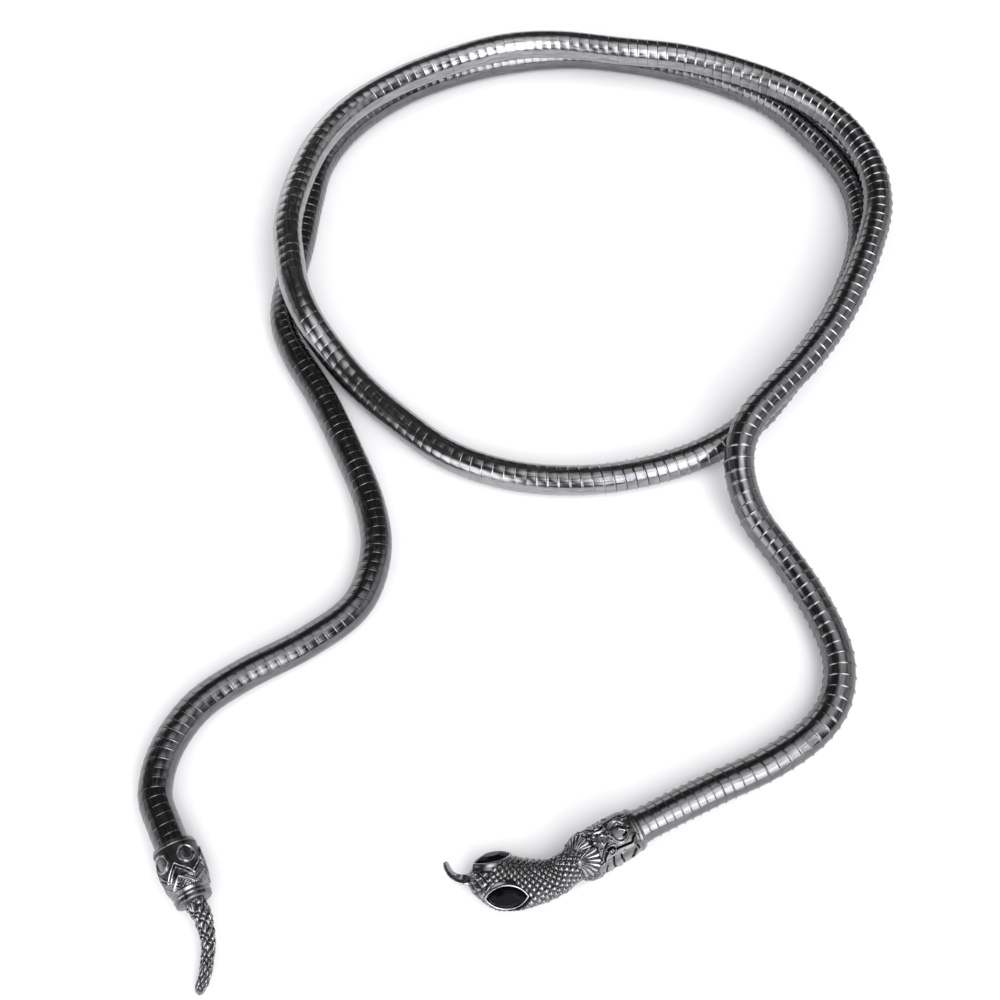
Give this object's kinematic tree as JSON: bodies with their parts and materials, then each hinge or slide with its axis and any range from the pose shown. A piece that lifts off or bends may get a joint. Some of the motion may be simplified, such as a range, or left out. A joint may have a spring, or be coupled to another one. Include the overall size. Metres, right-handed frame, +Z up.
{
  "type": "snake necklace",
  "caption": "Flexible strip-wound snake necklace with a cast snake's head, dark stone eyes and an ornamented scaly tail, lying in a loop.",
  "frame": {"origin": "middle of the necklace's loop, on the surface that it lies on", "axes": "+Z up from the surface, +Y from the two ends towards the far side of the loop, +X to the right as seen from above"},
  "size_m": [0.1425, 0.2114, 0.0124],
  "materials": {
    "wound_strip": "polished black nickel",
    "cast_metal": "bright gunmetal plating, dark in the recesses",
    "eye_stone": "polished black"
  },
  "bodies": {
    "root": {"chain_body": "wound_strip", "head_casting": "cast_metal", "tail_casting": "cast_metal", "eye_stone_left": "eye_stone", "eye_stone_right": "eye_stone"}
  },
  "joints": []
}
